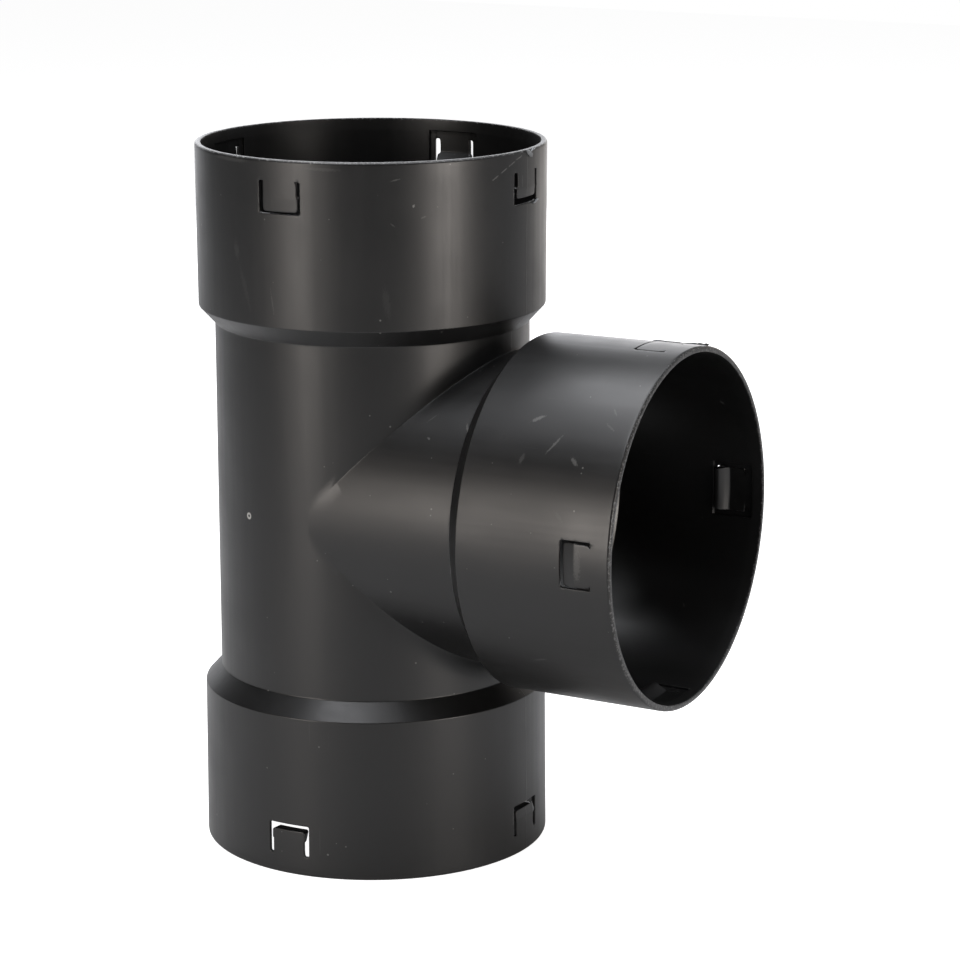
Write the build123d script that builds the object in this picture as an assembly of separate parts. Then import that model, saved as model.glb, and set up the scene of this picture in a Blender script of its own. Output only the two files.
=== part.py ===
from build123d import *
import math
import os

# Drain pipe tee, sizes in millimetres.
# The origin is the centre of the lower mouth, +Z runs up the straight run and +X along the branch.

# Overall sizes
OVERALL_HEIGHT = 255.0
BRANCH_REACH = 126.5
WALL = 2.2

# Run: two sockets joined by a narrower tube
RUN_SOCKET_OD = 125.0
RUN_TUBE_OD = 112.7

# Branch: its socket is slightly wider, its tube slightly narrower than the run's
BRANCH_SOCKET_OD = 127.2
BRANCH_TUBE_OD = 112.0

# Every socket has the same depth, shoulder and taper
SOCKET_LENGTH = 58.0
SHOULDER_HEIGHT = 6.2
SOCKET_DRAFT = 0.35
RIM_EASE = 0.8
MOUTH_LAND = 4.3

# Snap tabs, measured as depths from the rim and widths across the tab
TABS_PER_SOCKET = 4
POCKET_END = 19.3
POCKET_WIDTH = 20.4
POCKET_DEPTH = 0.8
WINDOW_START = 7.2
WINDOW_END = 18.5
WINDOW_WIDTH = 16.4
TAB_NECK_WIDTH = 13.0
TAB_HEAD_WIDTH = 14.4
TAB_FOLD = 13.2
TAB_END = 17.5
TAB_CORNER = 1.2
TAB_TILT = 0.6
BARB_REACH = 1.8
BARB_LAND = 1.2
ROOT_OVERLAP = 0.8
ROOT_INSET = 0.3

# Sizes worked out from those above
BRANCH_HEIGHT = OVERALL_HEIGHT / 2
TAPER = math.tan(math.radians(SOCKET_DRAFT))
RUN_SOCKET_R = RUN_SOCKET_OD / 2
RUN_TUBE_R = RUN_TUBE_OD / 2
BRANCH_SOCKET_R = BRANCH_SOCKET_OD / 2
BRANCH_TUBE_R = BRANCH_TUBE_OD / 2


def turned(points):
    """Revolve a closed half profile of (radius, height) points about Z."""
    face = make_face(Polyline(*points, close=True))
    return revolve(Plane.XZ * face, Axis.Z, 360)


def outer_half(socket_r, tube_r, inner_end):
    """Outside of one socket, its shoulder and the tube behind it. The mouth is at Z 0 and Z grows inwards."""
    neck_r = socket_r - SOCKET_LENGTH * TAPER
    points = [
        (0, 0),
        (socket_r - RIM_EASE, 0),
        (socket_r, RIM_EASE),
        (neck_r, SOCKET_LENGTH),
        (tube_r, SOCKET_LENGTH + SHOULDER_HEIGHT),
        (tube_r, inner_end),
        (0, inner_end),
    ]
    return turned(points)


def inner_half(socket_r, tube_r, inner_end):
    """Hollow of one socket and tube: a straight land at the mouth, then a slight taper down to the shoulder."""
    bore_r = socket_r - WALL
    slope = math.atan2(socket_r - SOCKET_LENGTH * TAPER - tube_r, SHOULDER_HEIGHT)
    shift = WALL * math.tan(slope / 2)
    neck_r = bore_r - (SOCKET_LENGTH - shift) * TAPER
    tube_bore_r = tube_r - WALL
    points = [
        (0, -1),
        (bore_r, -1),
        (bore_r, MOUTH_LAND),
        (neck_r, SOCKET_LENGTH - shift),
        (tube_bore_r, SOCKET_LENGTH + SHOULDER_HEIGHT - shift),
        (tube_bore_r, inner_end),
        (0, inner_end),
    ]
    return turned(points)


def sector(points, width, at_radius):
    """Revolve a closed (radius, depth) section about Z through the angle that spans the given width."""
    angle = math.degrees(width / at_radius)
    face = make_face(Polyline(*points, close=True))
    swept = revolve(Plane.XZ * face, Axis.Z, angle)
    return Rot(0, 0, -angle / 2) * swept


def facing(plan, near, far):
    """Push a (width, depth) plan through the +X side of a socket wall, between two radii."""
    wall_plane = Plane(origin=(near, 0, 0), x_dir=(0, 1, 0), z_dir=(1, 0, 0))
    return extrude(wall_plane * plan, far - near)


def pocket(socket_r):
    """Shallow recess inside the wall, around one tab."""
    floor_r = socket_r - WALL + POCKET_DEPTH
    points = [
        (socket_r - WALL - 4, MOUTH_LAND),
        (floor_r, MOUTH_LAND),
        (floor_r, POCKET_END),
        (socket_r - WALL - 4, POCKET_END),
    ]
    return sector(points, POCKET_WIDTH, socket_r)


def window(socket_r):
    """Opening through the wall that leaves the U-shaped slot round the tab."""
    length = WINDOW_END - WINDOW_START
    plan = Pos(0, (WINDOW_START + WINDOW_END) / 2) * Rectangle(WINDOW_WIDTH, length)
    return facing(plan, socket_r - 8, socket_r + 5)


def tab_plan():
    """Face-on outline of a tab: straight neck, slightly wider head, rounded free corners."""
    neck = TAB_NECK_WIDTH / 2
    head = TAB_HEAD_WIDTH / 2
    flare = (TAB_HEAD_WIDTH - TAB_NECK_WIDTH) / 2
    root = WINDOW_START - ROOT_OVERLAP - 1
    points = [
        (-neck, root),
        (neck, root),
        (neck, TAB_FOLD - flare),
        (head, TAB_FOLD),
        (head, TAB_END),
        (-head, TAB_END),
        (-head, TAB_FOLD),
        (-neck, TAB_FOLD - flare),
    ]
    face = make_face(Polyline(*points, close=True))
    corners = [face.vertices().sort_by_distance((side * head, TAB_END, 0))[0] for side in (-1, 1)]
    return fillet(corners, TAB_CORNER)


def tab(socket_r):
    """One snap tab on the +X side: a neck level with the wall, then a head that folds inwards and ends in a barb."""
    floor_r = socket_r - WALL + POCKET_DEPTH
    barb_r = socket_r - WALL - BARB_REACH
    points = [
        (floor_r + ROOT_INSET, WINDOW_START - ROOT_OVERLAP),
        (socket_r - WINDOW_START * TAPER - ROOT_INSET, WINDOW_START - ROOT_OVERLAP),
        (socket_r - WINDOW_START * TAPER, WINDOW_START),
        (socket_r - TAB_FOLD * TAPER, TAB_FOLD),
        (socket_r - TAB_FOLD * TAPER - TAB_TILT, TAB_END),
        (barb_r, TAB_END),
        (barb_r, TAB_END - BARB_LAND),
        (floor_r, TAB_FOLD - BARB_LAND),
        (floor_r, WINDOW_START),
    ]
    swept = sector(points, WINDOW_WIDTH + 2, socket_r)
    return swept & facing(tab_plan(), socket_r - 8, socket_r + 5)


def around(piece):
    """Copies of a piece at even angles round a socket."""
    step = 360 / TABS_PER_SOCKET
    return [Rot(0, 0, step * i) * piece for i in range(TABS_PER_SOCKET)]


def mouths():
    """Where each socket's mouth is and how wide the socket is."""
    bottom = Location((0, 0, 0))
    top = Location((0, 0, OVERALL_HEIGHT), (180, 0, 0))
    branch = Location((BRANCH_REACH, 0, BRANCH_HEIGHT), (0, -90, 0))
    return [
        (bottom, RUN_SOCKET_R, RUN_TUBE_R, BRANCH_HEIGHT),
        (top, RUN_SOCKET_R, RUN_TUBE_R, BRANCH_HEIGHT),
        (branch, BRANCH_SOCKET_R, BRANCH_TUBE_R, BRANCH_REACH),
    ]


def shell():
    """Both barrels joined at the saddle, then hollowed."""
    solid = None
    for place, socket_r, tube_r, reach in mouths():
        half = place * outer_half(socket_r, tube_r, reach)
        solid = half if solid is None else solid + half
    for place, socket_r, tube_r, reach in mouths():
        solid = solid - place * inner_half(socket_r, tube_r, reach)
    return solid


def tee_body():
    """The whole moulding in one piece."""
    body = shell()
    for place, socket_r, _, _ in mouths():
        cuts = around(pocket(socket_r)) + around(window(socket_r))
        body = body - [place * cut for cut in cuts]
        body = body + [place * piece for piece in around(tab(socket_r))]
    return body


os.makedirs("parts", exist_ok=True)
body = tee_body()
export_step(body, "parts/tee_body.step")
print("solids", len(body.solids()), "volume", round(body.volume / 1000, 1), "cm3", "box", body.bounding_box())
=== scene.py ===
# %% [markdown]
# A drain pipe tee is one hollow moulding of black polyethylene: a straight run with a socket at
# each end, and a branch with a third socket. The solid model gives its exact place and size.
# This notebook builds the visible skin over that solid, then its finish, the light and the camera.
# Loading the solid first means that every later length can be worked out from it.

# %% Load the frame
import math

import bmesh
import bpy
import numpy as np
from mathutils import Matrix, Vector


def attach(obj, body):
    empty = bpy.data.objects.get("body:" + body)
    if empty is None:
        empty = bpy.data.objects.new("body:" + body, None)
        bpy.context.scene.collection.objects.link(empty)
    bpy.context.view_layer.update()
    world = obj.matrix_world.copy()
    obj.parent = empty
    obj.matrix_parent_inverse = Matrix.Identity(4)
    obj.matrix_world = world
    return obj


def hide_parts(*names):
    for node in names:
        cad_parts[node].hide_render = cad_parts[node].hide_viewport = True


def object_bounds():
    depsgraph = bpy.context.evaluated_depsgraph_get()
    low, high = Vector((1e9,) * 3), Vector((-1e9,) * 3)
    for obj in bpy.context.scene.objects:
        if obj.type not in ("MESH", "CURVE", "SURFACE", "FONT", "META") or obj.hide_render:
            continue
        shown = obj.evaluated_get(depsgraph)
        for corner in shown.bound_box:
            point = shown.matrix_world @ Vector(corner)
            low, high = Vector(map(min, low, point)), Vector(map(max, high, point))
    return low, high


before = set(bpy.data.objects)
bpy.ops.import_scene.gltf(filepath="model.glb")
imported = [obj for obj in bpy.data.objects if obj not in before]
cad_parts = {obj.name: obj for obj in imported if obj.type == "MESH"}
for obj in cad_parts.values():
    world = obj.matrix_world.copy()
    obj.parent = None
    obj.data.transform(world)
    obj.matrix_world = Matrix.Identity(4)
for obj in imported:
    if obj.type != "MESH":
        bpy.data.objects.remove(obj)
cad_low, cad_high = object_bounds()
print("solid model from", tuple(cad_low), "to", tuple(cad_high))

# %% [markdown]
# The overall sizes come from the solid's box. What the box can't tell, such as the wall or the
# snap tabs, is a named value in millimetres. Meshes are in metres, so one factor converts them.

# %% Sizes
MM = 0.001
HEIGHT = (cad_high.z - cad_low.z) / MM
REACH = cad_high.x / MM
RUN_SOCKET_R = -cad_low.x / MM
BRANCH_SOCKET_R = cad_high.y / MM
RUN_TUBE_R = 56.35
BRANCH_TUBE_R = 56.0
BRANCH_HEIGHT = HEIGHT / 2
WALL = 2.2
SOCKET_LENGTH = 58.0
SHOULDER_HEIGHT = 6.2
SOCKET_DRAFT = 0.35
TAPER = math.tan(math.radians(SOCKET_DRAFT))
RIM_ROUND = 1.0
SHOULDER_ROUND = 0.7
print(f"height {HEIGHT:.1f}, reach {REACH:.1f},",
      f"sockets {2 * RUN_SOCKET_R:.1f} and {2 * BRANCH_SOCKET_R:.1f} mm wide")

# %% [markdown]
# Each socket carries four snap tabs, one every quarter turn. A tab is a tongue of the wall inside a
# U-shaped slot: its neck stays level with the wall, and its head folds inwards and ends in a barb.
# Inside, the wall is thinner round each tab, so that the tongue can bend. Depths count from the rim,
# and half widths from the middle of the tab.

# %% Snap tab sizes
POCKET_START, POCKET_END, POCKET_HALF, POCKET_DEPTH = 4.3, 19.3, 10.2, 0.8
WINDOW_START, WINDOW_END, WINDOW_HALF, WINDOW_CORNER = 7.2, 18.5, 8.2, 0.7
NECK_HALF, HEAD_HALF, HEAD_START, TAB_FOLD, TAB_END = 6.5, 7.2, 12.5, 13.2, 17.5
TAB_CORNER = 1.2
RAMP_START, RAMP_END, BARB_REACH = 12.0, 16.3, 1.8
TAB_CIRCLE_R = (RUN_SOCKET_R + BRANCH_SOCKET_R) / 2

# %% [markdown]
# No two tabs are quite alike: some heads lie level, some are pressed in, and some have flash that
# nearly closes the slot beside them. Each row is one tab, at quarter turns. It gives, in mm, how far
# the head is pressed in and how wide the slot is past the tab's end, beside the neck and beside the
# head, where the side of the smaller angle comes first.

# %% How the tabs differ
TAB_SHAPES = {
    "bottom": np.array([(0.45, 2.00, 1.50, 2.20, 1.40, 2.00),
                        (0.50, 0.90, 1.60, 1.50, 0.90, 0.80),
                        (0.60, 1.00, 1.70, 1.60, 1.00, 0.90),
                        (0.05, 2.20, 1.70, 2.00, 1.30, 1.60)]),
    "top": np.array([(0.25, 2.10, 2.20, 1.60, 1.70, 1.40),
                     (0.50, 0.90, 1.50, 2.10, 1.00, 1.20),
                     (0.40, 1.00, 1.40, 1.60, 0.90, 0.90),
                     (0.15, 0.75, 1.70, 1.25, 1.60, 0.90)]),
    "branch": np.array([(0.00, 0.40, 0.50, 0.50, 0.40, 0.40),
                        (0.25, 0.12, 0.05, 0.04, 0.05, 0.04),
                        (0.30, 0.60, 0.60, 0.60, 0.50, 0.50),
                        (1.00, 0.80, 0.70, 0.90, 0.50, 0.60)]),
}
print(sum(len(rows) for rows in TAB_SHAPES.values()), "tabs, pressed in by",
      min(rows[:, 0].min() for rows in TAB_SHAPES.values()), "to",
      max(rows[:, 0].max() for rows in TAB_SHAPES.values()), "mm")

# %% [markdown]
# The skin is a grid of columns round each barrel and rows along it. All barrels use the same columns,
# so their edges meet point to point and can be welded. Columns crowd together at the tabs, where
# edges need them, and spread out between. One quarter turn is worked out and repeated four times.

# %% Columns round a barrel
QUARTER = math.pi / 2
BETWEEN_TABS = 9
near_tab = np.array([0, 2.2, 4.2, HEAD_HALF - TAB_CORNER, NECK_HALF, HEAD_HALF,
                     WINDOW_HALF - WINDOW_CORNER, WINDOW_HALF - WINDOW_CORNER / 2, WINDOW_HALF,
                     9.2, POCKET_HALF, 11.6, 13.6])
away_from_tab = np.linspace(near_tab[-1] / TAB_CIRCLE_R, QUARTER / 2, BETWEEN_TABS + 1)[1:]
half_quarter = np.concatenate([near_tab / TAB_CIRCLE_R, away_from_tab])
quarter = np.concatenate([-half_quarter[:0:-1], half_quarter[:-1]])
columns = np.concatenate([quarter + turn * QUARTER for turn in range(4)])
columns = np.concatenate([columns, [columns[0] + 2 * math.pi]])
print(len(columns) - 1, "columns round each barrel")

# %% [markdown]
# Rows across the tabs follow the edges of the slot, the fold and the rounded corners. One row lies
# just past the tab's root, where a slot that flash has closed is narrow at once.

# %% Rows through the tabs
ROOT_ROW = 0.15
tab_rows = np.array([POCKET_START, 5.8, WINDOW_START, WINDOW_START + ROOT_ROW,
                     WINDOW_START + WINDOW_CORNER / 2, WINDOW_START + WINDOW_CORNER,
                     9.4, 10.8, RAMP_START, HEAD_START, TAB_FOLD - 0.2, TAB_FOLD + 0.2, 14.4, 15.4,
                     TAB_END - TAB_CORNER, RAMP_END + 0.6, TAB_END, WINDOW_END - WINDOW_CORNER,
                     WINDOW_END - WINDOW_CORNER / 2, WINDOW_END, POCKET_END])
print(len(tab_rows), "rows through the tabs")

# %% [markdown]
# Every face of the skin goes into one list of quads with its own corner points. Neighbouring quads
# repeat each other's points, and one weld at the end joins them into a closed skin.

# %% Collect quads
quads = []
inside_flags = []


def collect(cells, inside=0.0):
    """Keep a group of quads, with 1 for each quad of the inner surface and 0 for the rest."""
    quads.append(cells)
    inside_flags.append(np.full(len(cells), inside))


def add_grid(points, keep=None, inside=0.0):
    """Quads of a grid of points (rows, columns, 3). keep is True for each cell that is drawn."""
    cells = np.stack([points[:-1, :-1], points[:-1, 1:], points[1:, 1:], points[1:, :-1]], axis=2)
    collect(cells.reshape(-1, 4, 3) if keep is None else cells[keep], inside)


def add_walls(near, far, mask):
    """Walls between two grids of points wherever the mask of cells changes from one cell to the next."""
    rows, cols = np.nonzero(mask[1:] != mask[:-1])
    rows = rows + 1
    collect(np.stack([near[rows, cols], near[rows, cols + 1], far[rows, cols + 1], far[rows, cols]], axis=1))
    rows, cols = np.nonzero(mask[:, 1:] != mask[:, :-1])
    cols = cols + 1
    collect(np.stack([near[rows, cols], near[rows + 1, cols], far[rows + 1, cols], far[rows, cols]], axis=1))


# %% [markdown]
# A barrel's surface is a radius and a depth for each column angle. Three small functions turn those
# into points: one for each mouth of the tee.

# %% Place a barrel
def bottom_place(radius, angle, depth):
    """Angle from +X round +Z, depth upwards from the lower mouth."""
    return np.stack([radius * np.cos(angle), radius * np.sin(angle), depth + 0 * angle], axis=-1)


def top_place(radius, angle, depth):
    """Angle from +X round +Z, depth downwards from the upper mouth."""
    return np.stack([radius * np.cos(angle), radius * np.sin(angle), HEIGHT - depth + 0 * angle], axis=-1)


def branch_place(radius, angle, depth):
    """Angle from +Z towards +Y, depth back from the branch mouth."""
    across, up = radius * np.sin(angle), BRANCH_HEIGHT + radius * np.cos(angle)
    return np.stack([REACH - depth + 0 * angle, across, up], axis=-1)


# %% [markdown]
# Real moulded corners are never sharp. The section of a socket is a polyline whose corners are
# replaced by short arcs, which catch the light as thin lines.

# %% Sections with rounded corners
def arc_corner(before, corner, after, radius, steps=4):
    """Points of an arc of the given radius that touches both sides of a corner.

    The arc starts and ends radius times the tangent of half the turn from the corner, and its points
    are a quadratic blend between those ends and the corner, close to a circle for small turns."""
    into = (before - corner) / np.linalg.norm(before - corner)
    out = (after - corner) / np.linalg.norm(after - corner)
    half_turn = 0.5 * (math.pi - math.acos(float(np.clip(into @ out, -1, 1))))
    reach = radius * math.tan(half_turn)
    t = np.linspace(0, 1, steps + 1)[:, None]
    return (1 - t) ** 2 * (corner + into * reach) + 2 * t * (1 - t) * corner + t ** 2 * (corner + out * reach)


def shoulder_section(socket_r, tube_r, start, end):
    """(depth, radius) points from the foot of a socket over its shoulder to the start of the tube."""
    socket = np.array([POCKET_END, socket_r - POCKET_END * TAPER])
    upper = np.array([start, socket_r - start * TAPER])
    lower = np.array([end, tube_r])
    tube = np.array([end + 5, tube_r])
    return np.concatenate([
        arc_corner(socket, upper, lower, SHOULDER_ROUND),
        arc_corner(upper, lower, tube, SHOULDER_ROUND),
    ])


# %% [markdown]
# The corners of the slots and of the tab heads are rounded by moving points of the grid, so that it
# keeps its rows and columns. The points of a small square at each corner move into a quarter circle.

# %% Round the corners of a grid
NEAR = 1e-6


def corner_round(across, depth, centre_across, centre_depth, radius, toward):
    """Moves the points of a square corner onto a quarter circle.

    With u and v the distances from the circle's centre as shares of its radius, the new shares are
    u times the root of (1 - v squared / 2) and v times the root of (1 - u squared / 2)."""
    u = (np.abs(across) - centre_across) / radius
    v = toward * (depth - centre_depth) / radius
    inside = (u > -NEAR) & (u < 1 + NEAR) & (v > -NEAR) & (v < 1 + NEAR)
    new_u = u * np.sqrt(np.clip(1 - v * v / 2, 0, 1))
    new_v = v * np.sqrt(np.clip(1 - u * u / 2, 0, 1))
    across = np.where(inside, np.sign(across) * (centre_across + radius * new_u), across)
    depth = np.where(inside, centre_depth + toward * radius * new_v, depth)
    return across, depth


# %% [markdown]
# One grid draws all four tabs of a socket. Its cells are sorted into pocket, slot, neck and head, and
# its points are then moved across and along each tab, so that the slots get the widths of the table.

# %% Grid through the tabs
NECK_FLARE = 0.2
CLOSED_SLOT = 0.2
SLOT_EASE = 1.0


def tab_grid(shapes):
    """Distance across the nearest tab and depth of each point of the grid through the tabs.

    The slots start at their full width and reach their own width a millimetre past the tab's root, or
    at once where flash has closed them."""
    nearest_tab = np.round(columns / QUARTER)
    own_shape = shapes[nearest_tab.astype(int) % 4]
    pressed, end_gap, neck_low, neck_high, head_low, head_high = own_shape.T
    turn = nearest_tab * QUARTER
    across, depth = np.meshgrid((columns - turn) * TAB_CIRCLE_R, tab_rows)
    cell_across = (np.abs(across[:-1, :-1]) + np.abs(across[:-1, 1:])) / 2
    cell_depth = (depth[:-1, :-1] + depth[1:, :-1]) / 2
    in_pocket = (cell_across < POCKET_HALF)
    in_window = (cell_across < WINDOW_HALF) & (cell_depth > WINDOW_START) & (cell_depth < WINDOW_END)
    in_neck = (cell_across < NECK_HALF) & (cell_depth < HEAD_START)
    in_head = (cell_across < HEAD_HALF) & (cell_depth > HEAD_START) & (cell_depth < TAB_END)
    open_slot = in_window & ~in_neck & ~in_head
    flare = (np.abs(depth - HEAD_START) < NEAR) & (np.abs(np.abs(across) - HEAD_HALF) < NEAR)
    across = np.where(flare, np.sign(across) * (NECK_HALF + NECK_FLARE), across)
    on_head = (np.abs(across) < HEAD_HALF + NEAR) & (depth < TAB_END + NEAR)
    across, depth = corner_round(across, depth, HEAD_HALF - TAB_CORNER, TAB_END - TAB_CORNER, TAB_CORNER, 1)
    on_neck = depth < HEAD_START + NEAR
    half = np.where(on_neck, NECK_HALF, HEAD_HALF)
    low_slot, high_slot = np.where(on_neck, neck_low, head_low), np.where(on_neck, neck_high, head_high)
    slot = np.where(across > 0, high_slot, low_slot)
    grown = np.clip((depth - WINDOW_START) / np.where(slot < CLOSED_SLOT, ROOT_ROW, SLOT_EASE), 0, 1)
    new_half = half + (WINDOW_HALF - slot - half) * grown
    across = np.where(on_head, across * new_half / half, across)
    at_end = np.clip((depth - HEAD_START) / (TAB_END - HEAD_START), 0, 1)
    depth = np.where(on_head, depth + (WINDOW_END - TAB_END - end_gap) * at_end, depth)
    side = WINDOW_HALF - WINDOW_CORNER
    for toward, edge in ((-1, WINDOW_START), (1, WINDOW_END)):
        centre = edge - toward * WINDOW_CORNER
        across, depth = corner_round(across, depth, side, centre, WINDOW_CORNER, toward)
    return turn, across, depth, pressed, on_head, in_pocket, open_slot


# %% [markdown]
# Outside, a pressed head bulges a little at its fold. Inside, a ramp leads up to the barb: on a branch
# tab that lies nearly level it starts past the fold and is steeper. The rim is a quarter circle
# outside, worked out from the sine and cosine of its angle, and nearly sharp inside.

# %% One socket
PLAIN_ROWS = np.array([22.0, 28.0, 36.0, 45.0, 53.0])
OUTER_START, INNER_START = 65.2, 64.4
RIDGE_SHARE, RIDGE_REACH = 0.08, 2.4
LEVEL_HEAD, LATE_RAMP = 0.26, TAB_FOLD + 0.2
LIP_EASE, LIP_DEPTH = 0.2, 0.25


def socket(place, socket_r, tube_r, shapes):
    """Skin of one socket: rim, outside, inside, slots, tabs and both shoulders."""
    bore_r = socket_r - WALL
    floor_r = bore_r + POCKET_DEPTH
    ring = columns[None, :]
    turn, across, depth, pressed, on_head, in_pocket, open_slot = tab_grid(shapes)
    angle = turn + across / TAB_CIRCLE_R
    fold = np.clip((depth - TAB_FOLD) / (TAB_END - TAB_FOLD), 0, 1)
    ridge = RIDGE_SHARE * pressed * np.clip(1 - np.abs(depth - TAB_FOLD) / RIDGE_REACH, 0, 1)
    level_on_branch = (pressed < LEVEL_HEAD) & (socket_r > RUN_SOCKET_R)
    ramp_start = np.where(level_on_branch, LATE_RAMP, RAMP_START)
    ramp = np.clip((depth - ramp_start) / (RAMP_END - ramp_start), 0, 1)
    outside = place(socket_r - depth * TAPER - np.where(on_head, fold * pressed - ridge, 0), angle, depth)
    floor = place(floor_r - np.where(on_head, ramp * (POCKET_DEPTH + BARB_REACH), 0), angle, depth)
    bore = place(bore_r - (depth - POCKET_START) * TAPER, angle, depth)
    add_grid(outside, ~open_slot)
    add_grid(floor, in_pocket & ~open_slot, 1.0)
    add_grid(bore, ~in_pocket, 1.0)
    add_walls(outside, floor, open_slot)
    pocket_edge = np.pad(in_pocket, ((1, 1), (0, 0)))
    doubled = np.r_[0, np.arange(len(tab_rows)), len(tab_rows) - 1]
    add_walls(bore[doubled], floor[doubled], pocket_edge)

    t = np.linspace(0, QUARTER, 6)
    rim_depth = RIM_ROUND * (1 - np.cos(t))
    rim = np.stack([rim_depth, socket_r - RIM_ROUND * (1 - np.sin(t)) - rim_depth * TAPER], axis=1)
    lip = np.array([[POCKET_START, bore_r], [2.0, bore_r], [LIP_DEPTH, bore_r], [0, bore_r + LIP_EASE]])
    past_rim = np.array([2.5, POCKET_START])
    past_rim = np.stack([past_rim, socket_r - past_rim * TAPER], axis=1)
    before = np.concatenate([lip, rim, past_rim])
    add_grid(place(before[:, 1:], ring, before[:, :1]))

    slope = math.atan2(socket_r - SOCKET_LENGTH * TAPER - tube_r, SHOULDER_HEIGHT)
    shift = WALL * math.tan(slope / 2)
    end = SOCKET_LENGTH + SHOULDER_HEIGHT
    inner_r = bore_r + POCKET_START * TAPER
    for shell_r, thin_r, start, stop, tube_start, inside in (
            (socket_r, tube_r, SOCKET_LENGTH, end, OUTER_START, 0.0),
            (inner_r, tube_r - WALL, SOCKET_LENGTH - shift, end - shift, INNER_START, 1.0)):
        rows = np.concatenate([[POCKET_END], PLAIN_ROWS])
        rows = np.stack([rows, shell_r - rows * TAPER], axis=1)
        after = np.concatenate([rows, shoulder_section(shell_r, thin_r, start, stop), [[tube_start, thin_r]]])
        add_grid(place(after[:, 1:], ring, after[:, :1]), None, inside)


socket(bottom_place, RUN_SOCKET_R, RUN_TUBE_R, TAB_SHAPES["bottom"])
socket(top_place, RUN_SOCKET_R, RUN_TUBE_R, TAB_SHAPES["top"])
socket(branch_place, BRANCH_SOCKET_R, BRANCH_TUBE_R, TAB_SHAPES["branch"])
print("tubes start", OUTER_START, "mm outside and", INNER_START, "mm inside, from each mouth")

# %% [markdown]
# Where two pipes cross, the edge between them is a saddle curve. A point of the branch circle at
# angle a lies at y = b sin a, and it meets the run where x is the root of (R squared - y squared).
# The run's two halves are grids whose last row lies on that curve in front and meets half way up at
# the back, so the hole needs no cutting.

# %% Tubes that meet at the saddle
RUN_TUBE_ROWS, BRANCH_TUBE_ROWS = 13, 9
NEAR_ANGLE = 1e-9


def tubes(run_r, branch_r, start, inside):
    """Skin of the run's tube, in two halves, and of the branch's tube, from the sockets to the saddle."""
    angle = (columns + math.pi) % (2 * math.pi) - math.pi
    angle[np.abs(np.abs(angle) - math.pi) < NEAR_ANGLE] = math.pi
    front = np.abs(angle) <= QUARTER + NEAR_ANGLE
    widest = math.asin(branch_r / run_r)
    at_front = np.arcsin(np.clip(branch_r * np.sin(angle) / run_r, -1, 1))
    at_back = np.sign(angle) * (widest + (np.abs(angle) - QUARTER) * (math.pi - widest) / QUARTER)
    saddle_angle = np.where(front, at_front, at_back)
    saddle_z = BRANCH_HEIGHT - np.where(front, branch_r * np.cos(angle), 0)
    share = np.linspace(0, 1, RUN_TUBE_ROWS)[:, None]
    turned = angle + (saddle_angle - angle) * share
    height = start + (saddle_z - start) * share
    lower = np.stack([run_r * np.cos(turned), run_r * np.sin(turned), height], axis=-1)
    upper = lower * np.array([1, 1, -1]) + np.array([0, 0, HEIGHT])
    add_grid(lower, None, inside)
    add_grid(upper, None, inside)
    side = branch_r * np.sin(columns)
    saddle_x = np.sqrt(run_r ** 2 - side ** 2)
    share = np.linspace(0, 1, BRANCH_TUBE_ROWS)[:, None]
    along = saddle_x + (REACH - start - saddle_x) * share
    ring = branch_r * np.cos(columns) + 0 * share
    add_grid(np.stack([along, side + 0 * share, BRANCH_HEIGHT + ring], axis=-1), None, inside)


tubes(RUN_TUBE_R, BRANCH_TUBE_R, OUTER_START, 0.0)
tubes(RUN_TUBE_R - WALL, BRANCH_TUBE_R - WALL, INNER_START, 1.0)
print(sum(len(group) for group in quads), "quads collected")

# %% [markdown]
# One mesh now takes all the quads. Points closer than a few microns are the same point and are
# welded, faces are turned to point outwards, and a narrow bevel softens the cut edges of the slots,
# the rims and the saddle. Weighted normals keep the big faces flat beside those small bevels.

# %% Weld the skin
WELD = 0.004
EDGE_SOFTNESS, EDGE_ANGLE = 0.22, 25


def closed_mesh(name, corners, weld, inside, torn):
    """One mesh from quads given by their corner points (count, 4, 3) in millimetres.

    Each face keeps three marks for the finish: inside, torn, and on_branch, which is 1 where the
    middle of the face lies past the run's wall and within the branch's socket circle."""
    mesh = bpy.data.meshes.new(name)
    count = len(corners)
    mesh.from_pydata((corners.reshape(-1, 3) * MM).tolist(), [], np.arange(count * 4).reshape(-1, 4).tolist())
    middle = corners.mean(axis=1)
    past_run = np.hypot(middle[:, 0], middle[:, 1]) > RUN_TUBE_R + 0.1
    on_branch = past_run & (middle[:, 0] > 0) & (np.abs(middle[:, 2] - BRANCH_HEIGHT) < BRANCH_SOCKET_R)
    for mark, values in (("inside", inside), ("torn", torn), ("on_branch", on_branch.astype(float))):
        mesh.attributes.new(mark, "FLOAT", "FACE").data.foreach_set("value", values)
    built = bmesh.new()
    built.from_mesh(mesh)
    bmesh.ops.remove_doubles(built, verts=built.verts, dist=weld * MM)
    bmesh.ops.dissolve_degenerate(built, edges=built.edges, dist=weld * MM)
    bmesh.ops.recalc_face_normals(built, faces=built.faces)
    holes = sum(1 for edge in built.edges if len(edge.link_faces) != 2)
    built.to_mesh(mesh)
    built.free()
    mesh.polygons.foreach_set("use_smooth", np.ones(len(mesh.polygons), bool))
    print(name, len(mesh.polygons), "faces,", holes, "edges that don't join two faces")
    return mesh


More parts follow.
